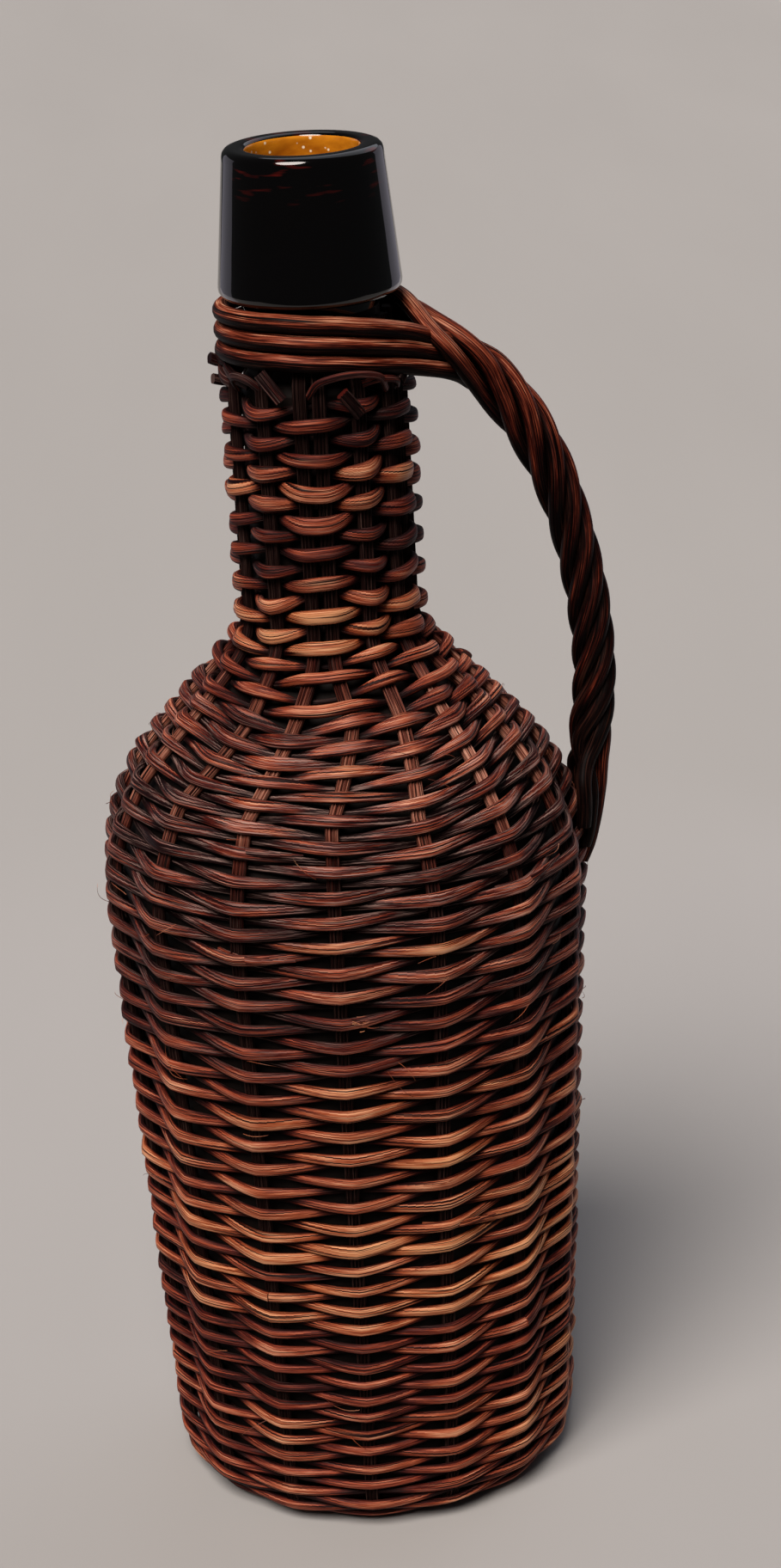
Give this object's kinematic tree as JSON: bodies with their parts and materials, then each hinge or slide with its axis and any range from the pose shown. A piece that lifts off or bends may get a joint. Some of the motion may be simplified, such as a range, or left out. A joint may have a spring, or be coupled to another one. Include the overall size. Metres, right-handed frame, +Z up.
{
  "type": "wicker covered demijohn bottle",
  "caption": "Tall dark glass bottle with a thick collar, covered to the neck in woven cane on upright stakes, with a twisted cane carrying handle from neck to shoulder.",
  "frame": {"origin": "where the bottle's axis meets the surface it stands on, on the underside of the middle stick of the base cross", "axes": "+Z up along the bottle's axis, +X towards the handle, -Y towards the pictured front"},
  "size_m": [0.1256, 0.1179, 0.33],
  "materials": {
    "dark_amber_glass": "smooth blown glass, very dark amber, see-through only at thin edges",
    "peeled_stake_cane": "split cane stained red-brown, grooved along its length",
    "stained_cane_mahogany": "flat cane stained mahogany, satin",
    "stained_cane_chestnut": "flat cane stained chestnut, satin",
    "stained_cane_umber": "flat cane stained umber, satin",
    "stained_cane_honey": "flat cane left honey-coloured, satin",
    "varnished_handle_cane": "whole round cane, dark red-brown varnish, glossy"
  },
  "bodies": {
    "root": {"glass_bottle": "dark_amber_glass", "base_stick_1": "peeled_stake_cane", "base_stick_2": "peeled_stake_cane", "base_stick_3": "peeled_stake_cane", "base_stick_4": "peeled_stake_cane", "base_stick_5": "peeled_stake_cane", "base_stick_6": "peeled_stake_cane", "stake_01": "peeled_stake_cane", "stake_02": "peeled_stake_cane", "stake_03": "peeled_stake_cane", "stake_04": "peeled_stake_cane", "stake_05": "peeled_stake_cane", "stake_06": "peeled_stake_cane", "stake_07": "peeled_stake_cane", "stake_08": "peeled_stake_cane", "stake_09": "peeled_stake_cane", "stake_10": "peeled_stake_cane", "stake_11": "peeled_stake_cane", "stake_12": "peeled_stake_cane", "stake_13": "peeled_stake_cane", "stake_14": "peeled_stake_cane", "stake_15": "peeled_stake_cane", "base_weaver": "stained_cane_mahogany", "body_weaver_01": "stained_cane_chestnut", "body_weaver_02": "stained_cane_honey", "body_weaver_03": "stained_cane_chestnut", "body_weaver_04": "stained_cane_honey", "body_weaver_05": "stained_cane_chestnut", "body_weaver_06": "stained_cane_honey", "body_weaver_07": "stained_cane_chestnut", "body_weaver_08": "stained_cane_honey", "body_weaver_09": "stained_cane_chestnut", "body_weaver_10": "stained_cane_honey", "body_weaver_11": "stained_cane_chestnut", "neck_weaver_1": "stained_cane_honey", "neck_weaver_2": "stained_cane_chestnut", "neck_weaver_3": "stained_cane_mahogany", "neck_weaver_4": "stained_cane_honey", "handle_cane_1": "varnished_handle_cane", "handle_cane_2": "varnished_handle_cane", "handle_cane_3": "varnished_handle_cane"}
  },
  "joints": []
}
